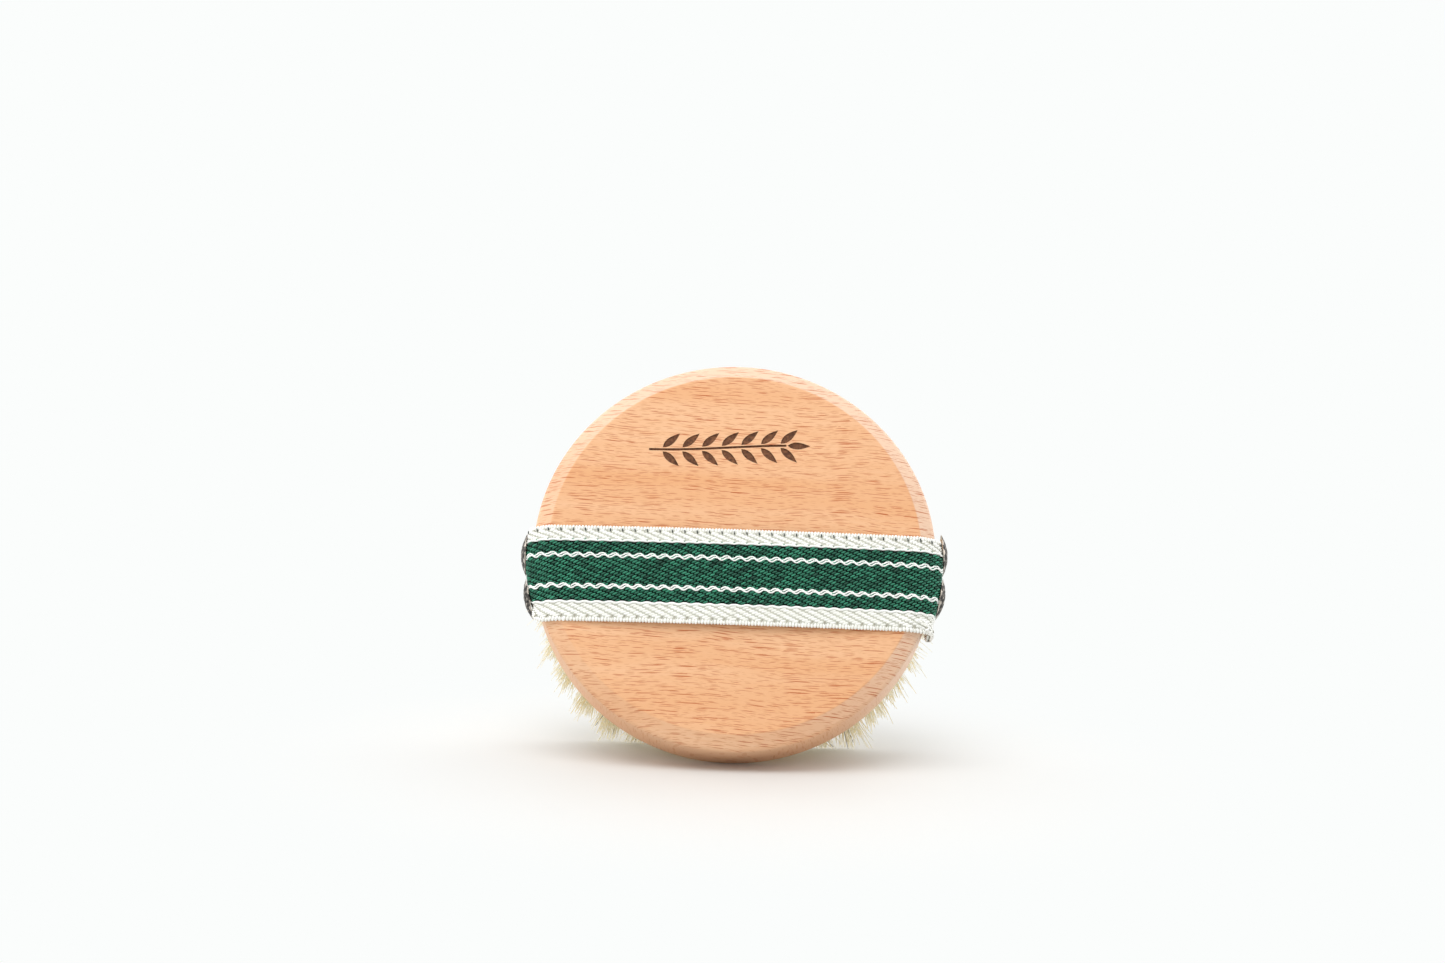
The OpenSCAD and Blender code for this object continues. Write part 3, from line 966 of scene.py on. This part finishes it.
@dataclass
class StrapPath:
    """The line that the webbing follows over the disc, and how a flat weave is laid on it.

    Sizes are in mm. Flat places are: along the strap from its middle, across it from its
    middle, and height above the middle of its thickness.
    """

    disc: DiscFrame
    layer: float = 0.95
    chamfer_in: float = 3.9
    chamfer_down: float = 2.1
    arris: float = 1.5
    under_top: float = 10.6
    corner: float = 6.0
    flare: float = 1.3
    flare_below: float = 15.5
    flare_past: float = 44.0
    gather: float = 4.5
    gather_below: float = 4.0
    gather_past: float = 51.0
    ease: float = 8.0
    spare: float = 2.0
    step: float = 0.2
    drop: float = field(init=False)
    half_width: float = field(init=False)
    fold: float = field(init=False)
    reach: np.ndarray = field(init=False)
    radii: np.ndarray = field(init=False)
    heights: np.ndarray = field(init=False)
    normals: np.ndarray = field(init=False)
    end: float = field(init=False)

    def __post_init__(self) -> None:
        """Works out the line from the CAD strap and the disc."""
        cad = self.disc.node("hand_strap")
        top, fold_z = float(cad[:, 2].max()), float(cad[:, 2].min())
        self.drop = float(cad[:, 1].min() + cad[:, 1].max()) / 2
        self.half_width = float(np.ptp(cad[:, 1])) / 2
        edge = self.disc.radius - self.chamfer_in - self.arris
        slack = top - self.layer - self.disc.thickness
        base = self.disc.thickness + self.layer / 2
        crown = [(r, base + slack * (1 - (r / edge) ** 2)) for r in np.arange(0.0, edge, 1.0)]
        outer, inner = self.disc.radius + 1.5 * self.layer, self.disc.radius + 0.5 * self.layer
        slope = self.chamfer_down / self.chamfer_in
        lift = self.layer / 2 * math.hypot(1.0, slope)
        first = self.disc.radius - self.chamfer_in + (lift - self.layer / 2) / slope
        side_z = base - slope * (outer - first)
        bottom = fold_z + self.layer / 2
        corners = [(edge, base), (first, base), (outer, side_z), (outer, bottom)]
        rest = self.rounded(corners, (2.4, 3.0))
        fold = [(outer - self.layer / 2 * (1 - math.cos(a)), bottom - self.layer / 2 * math.sin(a))
                for a in np.linspace(0.0, math.pi, 9)[1:]]
        wall = [(inner, z) for z in np.arange(bottom, self.under_top + self.spare, 0.5)[1:]]
        line = np.array(crown + rest + fold + wall)
        lengths = np.concatenate([[0.0], np.cumsum(np.linalg.norm(np.diff(line, axis=0), axis=1))])
        flat_count = len(crown)
        lengths += line[flat_count - 1, 0] - lengths[flat_count - 1]
        lengths[:flat_count] = line[:flat_count, 0]
        even = np.arange(0.0, lengths[-1], self.step)
        self.reach = even
        self.radii = np.interp(even, lengths, line[:, 0])
        self.heights = np.interp(even, lengths, line[:, 1])
        slopes = np.stack([-np.gradient(self.heights), np.gradient(self.radii)], 1)
        kernel = np.ones(5) / 5
        padded = np.pad(slopes, ((2, 2), (0, 0)), mode="edge")
        smooth = np.stack([np.convolve(padded[:, i], kernel, "valid") for i in (0, 1)], 1)
        self.normals = smooth / np.linalg.norm(smooth, axis=1)[:, None]
        self.end = float(lengths[-1]) - self.spare
        self.fold = float(lengths[len(crown) + len(rest) - 1])

    def rounded(self, corners: list[tuple[float, float]], radii: tuple[float, ...]) -> list:
        """Rounds the inner corners of a line.

        Args:
            corners: the line's points.
            radii: the radius at each point but the first and last.

        Returns:
            Points along the rounded line.
        """
        points = [np.array(corners[0])]
        for i, radius in enumerate(radii, start=1):
            before, here, after = (np.array(corners[i + j], float) for j in (-1, 0, 1))
            u = (before - here) / np.linalg.norm(before - here)
            v = (after - here) / np.linalg.norm(after - here)
            half = math.acos(float(u @ v)) / 2
            cut = min(radius / math.tan(half), np.linalg.norm(before - here) * 0.98)
            for t in np.linspace(0.0, 1.0, 9):
                start, stop = here + u * cut, here + v * cut
                points.append((1 - t) ** 2 * start + 2 * t * (1 - t) * here + t * t * stop)
        points.append(np.array(corners[-1], float))
        return [tuple(p) for p in points]

    def rounding(self, across: np.ndarray | float) -> np.ndarray | float:
        """Returns how far the fold is drawn in by the rounded corners, at a place across."""
        over = np.clip(np.abs(across) - (self.half_width - self.corner), 0.0, self.corner - 0.01)
        return self.corner - np.sqrt(self.corner ** 2 - over ** 2)

    def lay(self, flat: np.ndarray) -> np.ndarray:
        """Lays flat places on the strap's line.

        Args:
            flat: one row for each place, in mm.

        Returns:
            The places in the disc's frame, in mm.
        """
        along, across, height = flat.T
        y = across + self.drop
        plain = np.hypot(along, y)
        drawn = self.rounding(across)
        lifted = np.where(plain > self.fold - drawn, drawn, 0.0)
        reach = plain + lifted
        out_r = np.interp(reach, self.reach, self.normals[:, 0])
        out_z = np.interp(reach, self.reach, self.normals[:, 1])
        r = np.interp(reach, self.reach, self.radii) + height * out_r
        z = np.interp(reach, self.reach, self.heights) + height * out_z + lifted
        stray = eased((-y - self.flare_below) / (self.ease / 2))
        stray = stray * eased((plain - self.flare_past) / self.ease)
        r = r + self.flare * stray
        x = np.sign(along) * np.sqrt(np.maximum(r * r - y * y, 0.0))
        tucked = eased((-across - self.gather_below) / self.ease) * (along < 0)
        tucked = tucked * eased((reach - self.gather_past) / self.ease)
        return np.stack([x, y + self.gather * tucked, z], 1)

    def half_length(self, across: float) -> float:
        """Returns how far the strap's cut end is from its middle, at a place across it."""
        whole = math.sqrt(self.end ** 2 - (across + self.drop) ** 2)
        return whole - 2 * float(self.rounding(across))


def eased(share: np.ndarray) -> np.ndarray:
    """Returns a share held to 0..1 that eases in and out."""
    held = np.clip(share, 0.0, 1.0)
    return held * held * (3 - 2 * held)


class Yarn(Enum):
    """The yarns that the webbing is woven from, and one near-black colour that is painted shade in the
    weave's holes.
    """

    GREEN = "green"
    IVORY = "ivory"
    SHADOW = "shadow"
    BEIGE = "beige"


@dataclass(frozen=True)
class Band:
    """A stripe of floats, or one row of them where it has no stop. Sizes are in mm.

    Places across are shares of the strap's width, from its top edge.
    """

    name: str
    yarn: Yarn
    start: float
    stop: float | None
    size: Triple
    tilt: float
    column: float
    shift: float = 0.0
    pitch: float = 1.0
    offset: float = 0.0
    rise: float = 0.19


def float_pattern() -> Pattern:
    """Makes the tree that lays slanted floats on a staggered grid, flat, in mm."""
    tree = Pattern("lay_floats", {
        "Columns": "Int", "Rows": "Int", "Column Pitch": "Float", "Row Pitch": "Float",
        "Shift": "Float", "Start": "Float", "From": "Float", "To": "Float", "Float Length": "Float",
        "Float Width": "Float", "Float Height": "Float", "Rise": "Float", "Tilt": "Float",
        "Material": "Material"})
    given = tree.given
    count = tree.math("MULTIPLY", given["Columns"], given["Rows"])
    points = tree.add("GeometryNodePoints", {"Count": count}).outputs[0]
    index = tree.add("GeometryNodeInputIndex").outputs[0]
    column = tree.math("FLOOR", tree.math("DIVIDE", tree.math("ADD", index, 0.5), given["Rows"]))
    row = tree.math("SUBTRACT", index, tree.math("MULTIPLY", column, given["Rows"]))
    middle = tree.math("SUBTRACT", column, tree.math("DIVIDE", given["Columns"], 2.0))
    along = tree.math("ADD", tree.math("MULTIPLY", middle, given["Column Pitch"]), given["Start"])
    deep = tree.math("MULTIPLY", given["Rows"], given["Row Pitch"])
    raw = tree.math("SUBTRACT", tree.math("MULTIPLY", row, given["Row Pitch"]),
                    tree.math("MULTIPLY", column, given["Shift"]))
    across = tree.math("ADD", tree.math("FLOORED_MODULO", raw, deep), given["From"])
    along = tree.math("ADD", along, tree.random(-0.04, 0.04, 1))
    across_jittered = tree.math("ADD", across, tree.random(-0.025, 0.025, 2))
    moved = tree.add("GeometryNodeSetPosition",
                     {"Geometry": points, "Position": tree.joined(along, across_jittered, given["Rise"])})
    outside = tree.math("GREATER_THAN", across, given["To"])
    kept = tree.add("GeometryNodeDeleteGeometry", {"Geometry": moved.outputs[0], "Selection": outside},
                    domain="POINT").outputs[0]
    ball = tree.add("GeometryNodeMeshUVSphere", {"Segments": 8, "Rings": 5, "Radius": 0.5}).outputs[0]
    kept = tree.store(kept, "tone", tree.random(0.0, 1.0, 3))
    turned = tree.add("GeometryNodeTransform", {"Geometry": ball, "Rotation": (0.0, math.pi / 2, 0.0)})
    size = tree.joined(given["Float Length"], given["Float Width"], given["Float Height"])
    varied = tree.scaled(size, tree.random(0.94, 1.06, 4))
    turn = tree.joined(0.0, 0.0, tree.math("ADD", given["Tilt"], tree.random(-0.07, 0.07, 5)))
    placed = tree.add("GeometryNodeInstanceOnPoints", {"Points": kept, "Instance": turned.outputs[0],
                                                       "Rotation": turn, "Scale": varied})
    return tree.end(placed.outputs[0])


def thread_pattern() -> Pattern:
    """Makes the tree that lays one wavy thread along the strap, flat, in mm."""
    tree = Pattern("lay_wavy_thread", {
        "Half Length": "Float", "Points": "Int", "Period": "Float", "Swing": "Float",
        "Phase": "Float", "Across": "Float", "Rise": "Float", "Dip": "Float",
        "Thickness": "Float", "Sides": "Int", "Material": "Material"})
    given = tree.given
    start = tree.joined(tree.math("MULTIPLY", given["Half Length"], -1.0), 0.0, 0.0)
    line = tree.add("GeometryNodeCurvePrimitiveLine",
                    {"Start": start, "End": tree.joined(given["Half Length"], 0.0, 0.0)})
    line = tree.add("GeometryNodeResampleCurve", {"Curve": line.outputs[0], "Count": given["Points"]})
    x = tree.parts(tree.add("GeometryNodeInputPosition").outputs[0])[0]
    angle = tree.math("ADD", tree.math("MULTIPLY", tree.math("DIVIDE", x, given["Period"]), math.tau),
                      given["Phase"])
    third = tree.math("DIVIDE", tree.math("SINE", tree.math("MULTIPLY", angle, 3.0)), 14.0)
    wave = tree.math("MULTIPLY", tree.math("ADD", tree.math("SINE", angle), third), given["Swing"])
    nod = tree.math("COSINE", tree.math("MULTIPLY", angle, 2.0))
    height = tree.math("ADD", given["Rise"], tree.math("MULTIPLY", nod, given["Dip"]))
    moved = tree.add("GeometryNodeSetPosition",
                     {"Geometry": line.outputs[0],
                      "Position": tree.joined(x, tree.math("ADD", given["Across"], wave), height)})
    circle = tree.add("GeometryNodeCurvePrimitiveCircle",
                      {"Resolution": given["Sides"], "Radius": tree.math("DIVIDE", given["Thickness"], 2.0)})
    tube = tree.add("GeometryNodeCurveToMesh", {"Curve": moved.outputs[0],
                                                "Profile Curve": circle.outputs[0], "Fill Caps": True})
    toned = tree.store(tube.outputs[0], "tone", tree.random(0.3, 1.0, 1))
    return tree.end(toned)


@dataclass
class HandStrap:
    """The woven strap: a ground, floats in stripes, wavy threads, edge loops. Sizes in mm."""

    disc: DiscFrame
    path: StrapPath
    yarns: dict[Yarn, bpy.types.Material]
    white: bpy.types.Material
    ground: bpy.types.Material
    column: float = 0.788
    period: float = 3.152
    bottom: float = -0.45
    top: float = 0.16
    width: float = field(init=False)

    def __post_init__(self) -> None:
        """Reads the strap's width from its CAD node."""
        self.width = float(np.ptp(self.disc.node("hand_strap")[:, 1]))

    def across(self, share: float) -> float:
        """Returns the place across the strap, from its middle, of a share from its top edge."""
        return self.width * (0.5 - share)

    def bands(self) -> list[Band]:
        """Returns the stripes of floats, then both edges' loops, the picks by them, and a row of near-black
        ticks of painted shade by the upper edge.
        """
        step, period = self.column, self.period
        slope, steep = math.radians(14), math.radians(25)
        upright, leaning = math.radians(84), math.radians(101)
        return [
            Band("ivory_upper", Yarn.IVORY, 0.052, 0.150, (1.34, 0.76, 0.42), slope, step, 0.329, 1.315),
            Band("green", Yarn.GREEN, 0.176, 0.788, (1.46, 0.56, 0.66), steep, step, 0.329, 1.315),
            Band("ivory_lower", Yarn.IVORY, 0.815, 0.945, (1.62, 0.72, 0.46), slope, step, 0.382, 1.53),
            Band("loops_upper", Yarn.IVORY, 0.029, None, (1.40, 0.86, 0.80), upright, step,
                 offset=-0.23, rise=-0.02),
            Band("loops_lower", Yarn.IVORY, 0.973, None, (1.40, 0.86, 0.80), upright, step,
                 offset=0.25, rise=-0.02),
            # Painted shade: near-black ticks where the weave's holes by the upper edge lie in shade
            Band("shade_ticks_upper", Yarn.SHADOW, 0.049, None, (1.05, 0.34, 0.34), leaning, period,
                 offset=-0.23, rise=0.37),
            Band("picks_faint", Yarn.BEIGE, 0.050, None, (0.62, 0.20, 0.26), leaning, period,
                 offset=-1.09, rise=0.32),
            Band("picks_lower", Yarn.BEIGE, 0.946, None, (1.1, 0.28, 0.32), upright, period,
                 offset=1.035, rise=0.36),
            Band("green_tips", Yarn.GREEN, 0.156, None, (0.75, 0.42, 0.48), steep, period,
                 offset=-0.2, rise=0.30),
        ]

    def bend(self, piece: bpy.types.Object) -> bpy.types.Object:
        """Lays a flat piece on the strap's line and moves it to the brush."""
        move_points(piece.data, self.path.lay(places(piece.data)))
        piece.data.shade_smooth()
        return self.disc.settle(piece)

    def build_ground(self) -> bpy.types.Object:
        """Builds the cloth itself: one closed strip with rounded edges."""
        half = self.width / 2 - 0.22
        rim = (self.top - self.bottom) / 2
        level = (self.top + self.bottom) / 2
        row = np.linspace(-half + rim, half - rim, 25)
        turn = np.linspace(-math.pi / 2, math.pi / 2, 5)[1:-1]
        section = [(w, self.bottom) for w in row]
        section += [(half - rim + rim * math.cos(a), level + rim * math.sin(a)) for a in turn]
        section += [(w, self.top) for w in row[::-1]]
        section += [(-half + rim - rim * math.cos(a), level - rim * math.sin(a)) for a in turn]
        section = np.array(section)
        stations = np.linspace(-1.0, 1.0, 421)
        ends = np.array([self.path.half_length(w) for w in section[:, 0]])
        points = np.array([(t * e, w, h) for t in stations for (w, h), e in zip(section, ends)])
        uvs = np.array([((t + 1) / 2, 0.5 - w / self.width) for t in stations for w, h in section])
        faces = ring_faces(len(stations), len(section))
        mesh = mesh_of("strap_ground", self.path.lay(points), faces, uvs)
        mesh.materials.append(self.ground)
        piece = link(bpy.data.objects.new("strap_ground", mesh))
        return show(self.disc.settle(piece), "webbing", "hand_strap")

    def build_floats(self) -> list[bpy.types.Object]:
        """Lays the stripes of floats, the loops of both edges, the picks and the ticks of painted shade."""
        pattern = float_pattern()
        pieces = []
        for band in self.bands():
            high = self.across(band.start)
            low = high if band.stop is None else self.across(band.stop)
            reach = self.path.half_length((low + high) / 2)
            length, width, height = band.size
            piece = pattern.make("strap_" + band.name, bpy.data.meshes.new("none"), {
                "Columns": 8 * int(reach / 4 / band.column),
                "Rows": math.ceil((high - low) / band.pitch) + 1,
                "Column Pitch": band.column, "Row Pitch": band.pitch, "Shift": band.shift,
                "Start": band.offset, "From": low, "To": high + 0.001,
                "Float Length": length, "Float Width": width, "Float Height": height,
                "Rise": band.rise, "Tilt": band.tilt, "Material": self.yarns[band.yarn]})
            pieces.append(show(self.bend(piece), "webbing"))
        return pieces

    def build_threads(self) -> list[bpy.types.Object]:
        """Lays the two white zigzags and the cords along the green stripe's edges."""
        pattern = thread_pattern()
        zigzags = [(f"strap_zigzag_{level}_{strand}", share, 0.34, 0.44, phase, offset)
                   for level, share in (("upper", 0.313), ("lower", 0.635))
                   for strand, phase, offset in (("first", -0.62, 0.23), ("second", -1.48, -0.23))]
        cords = [("strap_cord_upper", 0.158, 0.08, 0.55, -1.05, 0.0),
                 ("strap_cord_lower", 0.801, 0.16, 0.60, 0.9, 0.0)]
        pieces = []
        for name, share, swing, thickness, phase, offset in zigzags + cords:
            values = {"Half Length": self.path.half_length(self.across(share)) - 0.6,
                      "Points": 560, "Period": self.period, "Swing": swing, "Phase": phase,
                      "Across": self.across(share) + offset, "Rise": 0.3, "Dip": 0.05,
                      "Thickness": thickness, "Sides": 8, "Material": self.white}
            piece = pattern.make(name, bpy.data.meshes.new("none"), values)
            pieces.append(show(self.bend(piece), "webbing"))
        return pieces

    def build_loose_ends(self) -> bpy.types.Object:
        """Builds the frayed loop and stray fibres at the lower right corner."""
        routes = [
            [(45.9, -9.9, 0.5), (47.2, -9.3, 1.1), (48.2, -10.0, 1.3), (48.6, -11.2, 1.0),
             (47.6, -11.9, 0.5)],
            [(46.8, -10.9, 0.4), (48.4, -11.8, 0.7), (50.4, -12.3, 0.6), (52.0, -12.5, 0.3)],
            [(49.4, -11.8, 0.4), (51.2, -12.7, 0.5), (53.0, -13.1, 0.2), (54.6, -12.8, 0.1)],
        ]
        tube = bmesh.new()
        for number, route in enumerate(routes):
            line = smooth_line(np.array(route), 20)
            add_tube(tube, self.path.lay(line), 0.24 if number == 0 else 0.13)
        mesh = bpy.data.meshes.new("strap_loose_threads")
        tube.to_mesh(mesh)
        tube.free()
        tone = mesh.attributes.new("tone", "FLOAT", "POINT")
        tone.data.foreach_set("value", [0.8] * len(mesh.vertices))
        mesh.materials.append(self.white)
        mesh.shade_smooth()
        piece = link(bpy.data.objects.new("strap_loose_threads", mesh))
        return show(self.disc.settle(piece), "webbing")

    def build(self) -> bpy.types.Object:
        cloth = self.build_ground()
        extras = self.build_floats() + self.build_threads() + [self.build_loose_ends()]
        return cloth


def smooth_line(route: np.ndarray, count: int) -> np.ndarray:
    """Returns points along a smooth curve through a few chosen ones.

    Args:
        route: the chosen points.
        count: how many points to return.
    """
    padded = np.vstack([2 * route[0] - route[1], route, 2 * route[-1] - route[-2]])
    result = []
    for t in np.linspace(0.0, len(route) - 1 - 1e-6, count):
        i, f = int(t), t - int(t)
        a, b, c, d = padded[i:i + 4]
        result.append(0.5 * (2 * b + (c - a) * f + (2 * a - 5 * b + 4 * c - d) * f * f
                             + (3 * b - a - 3 * c + d) * f ** 3))
    return np.array(result)


def add_tube(shape: bmesh.types.BMesh, line: np.ndarray, radius: float, sides: int = 7) -> None:
    """Adds a closed round tube along a line.

    Args:
        shape: the mesh to add it to.
        line: the points of its middle.
        radius: its radius.
        sides: how many sides it has.
    """
    rings = []
    side = Vector((0.0, 0.0, 1.0))
    for i, point in enumerate(line):
        way = Vector(line[min(i + 1, len(line) - 1)] - line[max(i - 1, 0)]).normalized()
        side = (side - way * side.dot(way)).normalized()
        other = way.cross(side)
        fade = 0.35 if i in (0, len(line) - 1) else 1.0
        turns = [math.tau * j / sides for j in range(sides)]
        rims = [(side * math.cos(a) + other * math.sin(a)) * radius * fade for a in turns]
        rings.append([shape.verts.new(Vector(point) + rim) for rim in rims])
    for first, second in zip(rings, rings[1:]):
        for j in range(sides):
            k = (j + 1) % sides
            shape.faces.new((first[j], first[k], second[k], second[j]))
    shape.faces.new(list(reversed(rings[0])))
    shape.faces.new(rings[-1])


# ---------------------------------------------------------------- tacks


@dataclass
class TackCap:
    """One domed and hammered tack cap, built where its CAD node is. Sizes are in mm."""

    disc: DiscFrame
    node: str
    turn: float
    wall: float = 0.45
    rings: int = 26
    sides: int = 72
    marks: int = 34
    mark_depth: float = 0.20
    mark_radius: float = 0.95

    def dimples(self) -> np.ndarray:
        """Returns the hammer marks' places on the cap, as shares of its radius."""
        golden = math.pi * (3 - math.sqrt(5))
        steps = np.arange(self.marks)
        radii = np.sqrt((steps + 0.4) / self.marks) * 0.93
        return np.stack([radii * np.cos(golden * steps + self.turn),
                         radii * np.sin(golden * steps + self.turn)], 1)

    def build(self, bronze: bpy.types.Material) -> bpy.types.Object:
        """Builds the cap as a closed shell.

        Args:
            bronze: its material.

        Returns:
            The finished piece.
        """
        cad = self.disc.node(self.node)
        middle = (cad.min(0) + cad.max(0)) / 2
        axis = Vector((middle[0], middle[1], 0.0)).normalized()
        lifts = cad @ np.array(axis)
        seat, rise = float(lifts.min()), float(np.ptp(lifts))
        radius = float(np.ptp(cad[:, 2])) / 2
        ball = (radius ** 2 + rise ** 2) / (2 * rise)
        marks = self.dimples() * radius

        points, depths = [], []
        for shell, (rim, top) in enumerate(((radius, rise), (radius - self.wall, rise - self.wall))):
            steps = np.linspace(0.0, 1.0, self.rings)
            for share in steps if shell == 0 else steps[::-1]:
                r = rim * share
                z = top - ball + math.sqrt(ball ** 2 - r ** 2)
                for j in range(self.sides):
                    a = math.tau * j / self.sides
                    x, y = r * math.cos(a), r * math.sin(a)
                    depth = 0.0
                    if shell == 0:
                        gap = np.hypot(marks[:, 0] - x, marks[:, 1] - y).min() / self.mark_radius
                        depth = max(0.0, 1 - gap * gap)
                    keep = 1 - share ** 8
                    points.append((x, y, max(z, 0.0) - self.mark_depth * depth * keep))
                    depths.append(depth)
        faces = ring_faces(2 * self.rings, self.sides)[:-2]
        shape = bmesh.new()
        mesh = mesh_of(self.node, np.array(points), faces)
        layer = mesh.attributes.new("dimple", "FLOAT", "POINT")
        layer.data.foreach_set("value", depths)
        shape.from_mesh(mesh)
        bmesh.ops.remove_doubles(shape, verts=shape.verts, dist=0.001)
        bmesh.ops.dissolve_degenerate(shape, edges=shape.edges, dist=0.001)
        bmesh.ops.recalc_face_normals(shape, faces=shape.faces)
        shape.to_mesh(mesh)
        shape.free()
        side = Vector((0.0, 0.0, 1.0))
        frame_turn = Matrix((side.cross(axis), side, axis)).transposed().to_4x4()
        place = Matrix.Translation(axis * seat + Vector((0.0, 0.0, float(middle[2])))) @ frame_turn
        mesh.transform(place)
        mesh.materials.append(bronze)
        mesh.shade_smooth()
        piece = link(bpy.data.objects.new(self.node.replace("tack_cap", "tack_dome"), mesh))
        return show(self.disc.settle(piece), "tack_cap", self.node)


# ---------------------------------------------------------------- stage


@dataclass(frozen=True)
class Studio:
    """A pale floor that fades into a white surround, with soft lights. Sizes in metres."""

    surround: Colour = (0.965, 0.982, 0.974)
    front_light: float = 0.50
    rear_light: float = 1.0
    floor_tone: Colour = (0.66, 0.65, 0.63)
    floor_half: float = 30.0
    contact: Triple = (0.0, -0.032, 0.0)
    fade_from: float = 0.015
    fade_to: float = 0.135

    def world(self) -> None:
        """Makes the white surround, which lights the brush more from behind than in front."""
        world = bpy.data.worlds.new("surround")
        bpy.context.scene.world = world
        world.use_nodes = True
        graph = Graph(world.node_tree)
        way = graph.parts(graph.add("ShaderNodeTexCoord").outputs["Generated"])
        light = graph.span(way[1], -0.3, 0.6, self.front_light, self.rear_light, smooth=True)
        seen = graph.add("ShaderNodeLightPath").outputs["Is Camera Ray"]
        strength = graph.math("MAXIMUM", light, seen)
        tint = blend_colours(graph, seen, (1.0, 1.0, 1.0), self.surround)
        background = world.node_tree.nodes["Background"]
        graph.fill(background, {"Color": tint, "Strength": strength})

    def floor(self) -> None:
        """Makes the floor, shaded by the brush near it and plain white further off."""
        half = self.floor_half
        corners = [(-half, -half, 0), (half, -half, 0), (half, half, 0), (-half, half, 0)]
        mesh = mesh_of("floor", np.array(corners), [(0, 1, 2, 3)])
        floor = link(bpy.data.objects.new("floor", mesh))
        material, graph, shader = new_material("pale_floor")
        graph.fill(shader, {"Base Color": (*self.floor_tone, 1.0), "Roughness": 0.6,
                            "Specular IOR Level": 0.2})
        where = graph.add("ShaderNodeTexCoord").outputs["Object"]
        away = graph.vector("SUBTRACT", where, self.contact)
        length = graph.measure("LENGTH", away)
        far = graph.span(length, self.fade_from, self.fade_to, smooth=True)
        white = graph.add("ShaderNodeEmission", {"Color": (*self.surround, 1.0), "Strength": 1.0})
        mix = graph.add("ShaderNodeMixShader", {0: far, 1: shader.outputs[0], 2: white.outputs[0]})
        graph.feed(material.node_tree.nodes["Material Output"].inputs[0], mix.outputs[0])
        mesh.materials.append(material)

    def lamp(self, name: str, place: Triple, size: float, watts: float) -> None:
        """Hangs a soft square light that looks at the brush."""
        light = bpy.data.lights.new(name, "AREA")
        light.size = size
        light.energy = watts
        lamp = link(bpy.data.objects.new(name, light))
        lamp.location = place
        aim = Vector((0.0, 0.0, 0.05)) - Vector(place)
        lamp.rotation_euler = aim.to_track_quat("-Z", "Y").to_euler()

    def build(self) -> None:
        """Sets up the whole stage."""
        self.world()
        self.floor()
        self.lamp("overhead_softbox", (-0.2, -0.3, 1.15), 1.0, 10.5)
        self.lamp("front_softbox", (-0.8, -1.3, 0.55), 1.0, 5.0)
        self.lamp("rear_softbox", (0.7, 1.0, 0.9), 0.8, 3.0)
        self.lamp("left_strip", (-0.75, 0.35, 0.30), 0.5, 2.2)
        self.lamp("right_strip", (0.75, 0.35, 0.30), 0.5, 2.2)


@dataclass(frozen=True)
class Viewpoint:
    """The camera: long lens, slightly above, rolled a little. Sizes in mm and degrees."""

    disc: DiscFrame
    lens: float = 85.0
    distance: float = 868.2
    aside: float = 3.70
    below: float = 18.67
    look_down: float = 6.64
    roll: float = 1.83
    rim_height: float = 13.3

    def build(self) -> None:
        """Places the camera by the middle of the disc's front rim."""
        pitch, roll = math.radians(self.look_down), math.radians(self.roll)
        forward = Vector((0.0, math.cos(pitch), -math.sin(pitch)))
        right, up = Vector((1.0, 0.0, 0.0)), Vector((0.0, math.sin(pitch), math.cos(pitch)))
        target = self.disc.middle + self.disc.out * self.rim_height * MM
        place = target - (right * self.aside - up * self.below + forward * self.distance) * MM
        rolled = right * math.cos(roll) + up * math.sin(roll)
        rolled_up = up * math.cos(roll) - right * math.sin(roll)
        data = bpy.data.cameras.new("camera")
        data.lens = self.lens
        data.sensor_width = 36.0
        data.clip_start, data.clip_end = 0.05, 100.0
        camera = link(bpy.data.objects.new("camera", data))
        turn = Matrix((rolled, rolled_up, -forward)).transposed()
        camera.matrix_world = Matrix.Translation(place) @ turn.to_4x4()
        bpy.context.scene.camera = camera


# ---------------------------------------------------------------- all together


def dress_hidden_metal() -> None:
    """Gives the nails and wire anchors, which stay as CAD nodes, their metal."""
    wire = WireFinish().build()
    for name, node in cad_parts.items():
        if "nail" in name or "anchor" in name:
            node.data.materials.clear()
            node.data.materials.append(wire)


def main() -> None:
    """Builds the brush and its stage."""
    logging.basicConfig(level=logging.INFO, format="%(message)s")
    disc = DiscFrame.read(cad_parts["wooden_body"])
    LOG.info("disc: radius %.2f, thickness %.2f mm", disc.radius, disc.thickness)
    Viewpoint(disc).build()
    Studio().build()
    bpy.context.scene.view_settings.view_transform = "Standard"

    WoodenBody(disc).build(BeechFinish(disc).build(), ScorchFinish().build())
    HandStrap(
        disc,
        StrapPath(disc),
        yarns={
            Yarn.GREEN: YarnFinish("green_yarn", (0.044, 0.325, 0.190), (0.003, 0.058, 0.033), 0.05).build(),
            Yarn.IVORY: YarnFinish("ivory_yarn", (0.96, 0.96, 0.93), (0.86, 0.86, 0.80), 0.1).build(),
            # Near-black colour for the ticks of painted shade
            Yarn.SHADOW: YarnFinish("painted_shade_ticks", (0.06, 0.07, 0.06), (0.015, 0.02, 0.018), 0.0).build(),
            Yarn.BEIGE: YarnFinish("beige_yarn", (0.50, 0.47, 0.38), (0.33, 0.31, 0.24), 0.1).build(),
        },
        white=YarnFinish("white_yarn", (0.98, 0.98, 0.96), (0.90, 0.90, 0.86), 0.15).build(),
        ground=GapShadeGroundFinish().build(),
    ).build()
    bronze = BronzeFinish().build()
    caps = sorted(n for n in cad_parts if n.endswith("tack_cap"))
    for number, node in enumerate(caps):
        TackCap(disc, node, turn=1.1 * number).build(bronze)
    BristleField(disc).build(HairFinish().build())
    dress_hidden_metal()


if __name__ == "__main__":
    main()
